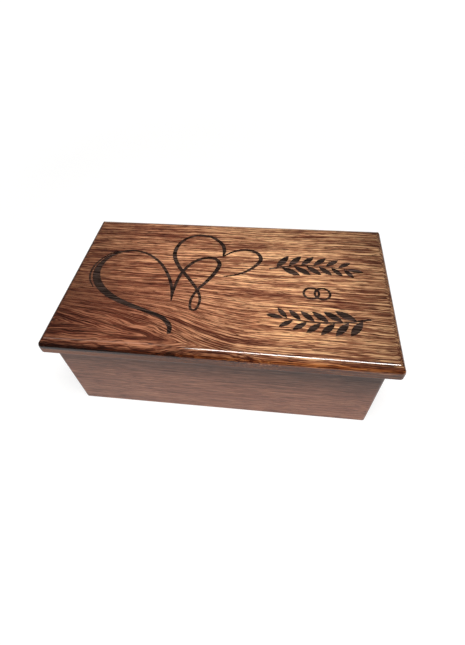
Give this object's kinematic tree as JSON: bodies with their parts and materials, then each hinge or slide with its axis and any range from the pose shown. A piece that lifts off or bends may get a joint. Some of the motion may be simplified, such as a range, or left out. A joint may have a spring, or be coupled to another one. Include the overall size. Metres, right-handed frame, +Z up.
{
  "type": "wedding card box",
  "caption": "Rectangular hardwood box with mitred walls, a grooved-in base and an overhanging engraved lid that hinges up to take and keep wedding cards.",
  "frame": {"origin": "bottom centre of the closed box's bounding box, on the surface the box stands on", "axes": "+X to the right along the length, +Y to the back where the hinges are, +Z up; the front faces -Y"},
  "size_m": [0.307, 0.1808, 0.0974],
  "materials": {
    "lid_wood": "gloss varnish",
    "wall_wood": "satin varnish",
    "base_wood": "satin",
    "spline_wood": "raw",
    "felt": "matte felt",
    "hinge_brass": "satin",
    "screw_brass": "polished"
  },
  "bodies": {
    "case": {"front_panel": "wall_wood", "back_panel": "wall_wood", "left_panel": "wall_wood", "right_panel": "wall_wood", "base_panel": "base_wood", "base_felt": "felt", "mitre_spline_front_left": "spline_wood", "mitre_spline_front_right": "spline_wood", "mitre_spline_back_left": "spline_wood", "mitre_spline_back_right": "spline_wood", "left_hinge_case_leaf": "hinge_brass", "left_hinge_pin": "hinge_brass", "left_hinge_case_screws": "screw_brass", "right_hinge_case_leaf": "hinge_brass", "right_hinge_pin": "hinge_brass", "right_hinge_case_screws": "screw_brass"},
    "lid": {"lid_board": "lid_wood", "left_hinge_lid_leaf": "hinge_brass", "left_hinge_lid_screws": "screw_brass", "right_hinge_lid_leaf": "hinge_brass", "right_hinge_lid_screws": "screw_brass"}
  },
  "joints": [
    {"name": "lid_hinge", "type": "hinge", "parent": "case", "child": "lid", "pos_m": [0, 0.08783, 0.0832], "axis": [-1, 0, 0], "range_deg": [0, 95]}
  ]
}
